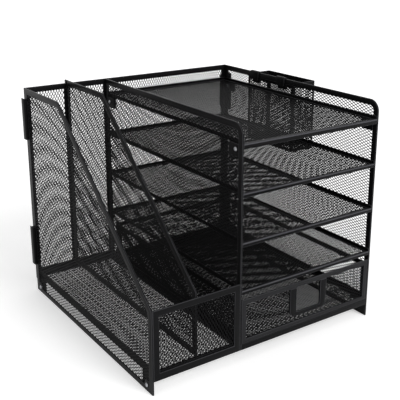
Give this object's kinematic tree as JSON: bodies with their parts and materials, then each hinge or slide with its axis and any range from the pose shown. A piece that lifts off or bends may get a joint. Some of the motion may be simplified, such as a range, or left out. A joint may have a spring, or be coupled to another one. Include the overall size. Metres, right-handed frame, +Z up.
{
  "type": "desk organizer",
  "caption": "Black steel mesh desk organizer: two upright file bays with a sloped front, a top tray, paper shelves, a drawer below them and a pen holder hung on the side.",
  "frame": {"origin": "on the desk, at the middle of the whole object's width and depth", "axes": "+Z up; the front, with the drawer, faces -Y; +X towards the viewer's right, where the pen holder hangs"},
  "size_m": [0.4174, 0.3602, 0.327],
  "materials": {
    "black_strip": "satin black powder coat",
    "black_mesh": "satin black powder coat on diamond mesh",
    "screw_steel": "zinc plated"
  },
  "bodies": {
    "frame": {"left_side_rim": "black_strip", "left_side_mesh": "black_mesh", "divider_rim": "black_strip", "divider_mesh": "black_mesh", "inner_side_rim": "black_strip", "inner_side_mesh": "black_mesh", "right_side_rim": "black_strip", "right_side_mesh": "black_mesh", "back_rim": "black_strip", "back_mesh": "black_mesh", "file_front_rim": "black_strip", "file_front_mesh": "black_mesh", "file_floor_rim": "black_strip", "file_floor_mesh": "black_mesh", "file_floor_edges": "black_strip", "top_tray_rim": "black_strip", "top_tray_mesh": "black_mesh", "top_tray_edges": "black_strip", "upper_shelf_rim": "black_strip", "upper_shelf_mesh": "black_mesh", "upper_shelf_edges": "black_strip", "middle_shelf_rim": "black_strip", "middle_shelf_mesh": "black_mesh", "middle_shelf_edges": "black_strip", "lower_shelf_rim": "black_strip", "lower_shelf_mesh": "black_mesh", "lower_shelf_edges": "black_strip", "base_tray_rim": "black_strip", "base_tray_mesh": "black_mesh", "base_tray_edges": "black_strip", "tray_screws": "screw_steel", "tray_nuts": "screw_steel", "corner_sleeves": "black_strip", "back_hooks": "black_strip"},
    "drawer": {"drawer_front_rim": "black_strip", "drawer_front_mesh": "black_mesh", "drawer_pull": "black_strip", "drawer_left_rim": "black_strip", "drawer_left_mesh": "black_mesh", "drawer_right_rim": "black_strip", "drawer_right_mesh": "black_mesh", "drawer_back_rim": "black_strip", "drawer_back_mesh": "black_mesh", "drawer_floor_rim": "black_strip", "drawer_floor_mesh": "black_mesh"},
    "pen_holder": {"pen_holder_frame": "black_strip", "pen_holder_mesh": "black_mesh", "pen_holder_floor": "black_mesh", "pen_holder_hooks": "black_strip"}
  },
  "joints": [
    {"name": "drawer_slide", "type": "slide", "parent": "frame", "child": "drawer", "axis": [0, -1, 0], "range_m": [0, 0.23]},
    {"name": "pen_holder_lift", "type": "slide", "parent": "frame", "child": "pen_holder", "axis": [0, 0, 1], "range_m": [0, 0.04]}
  ]
}
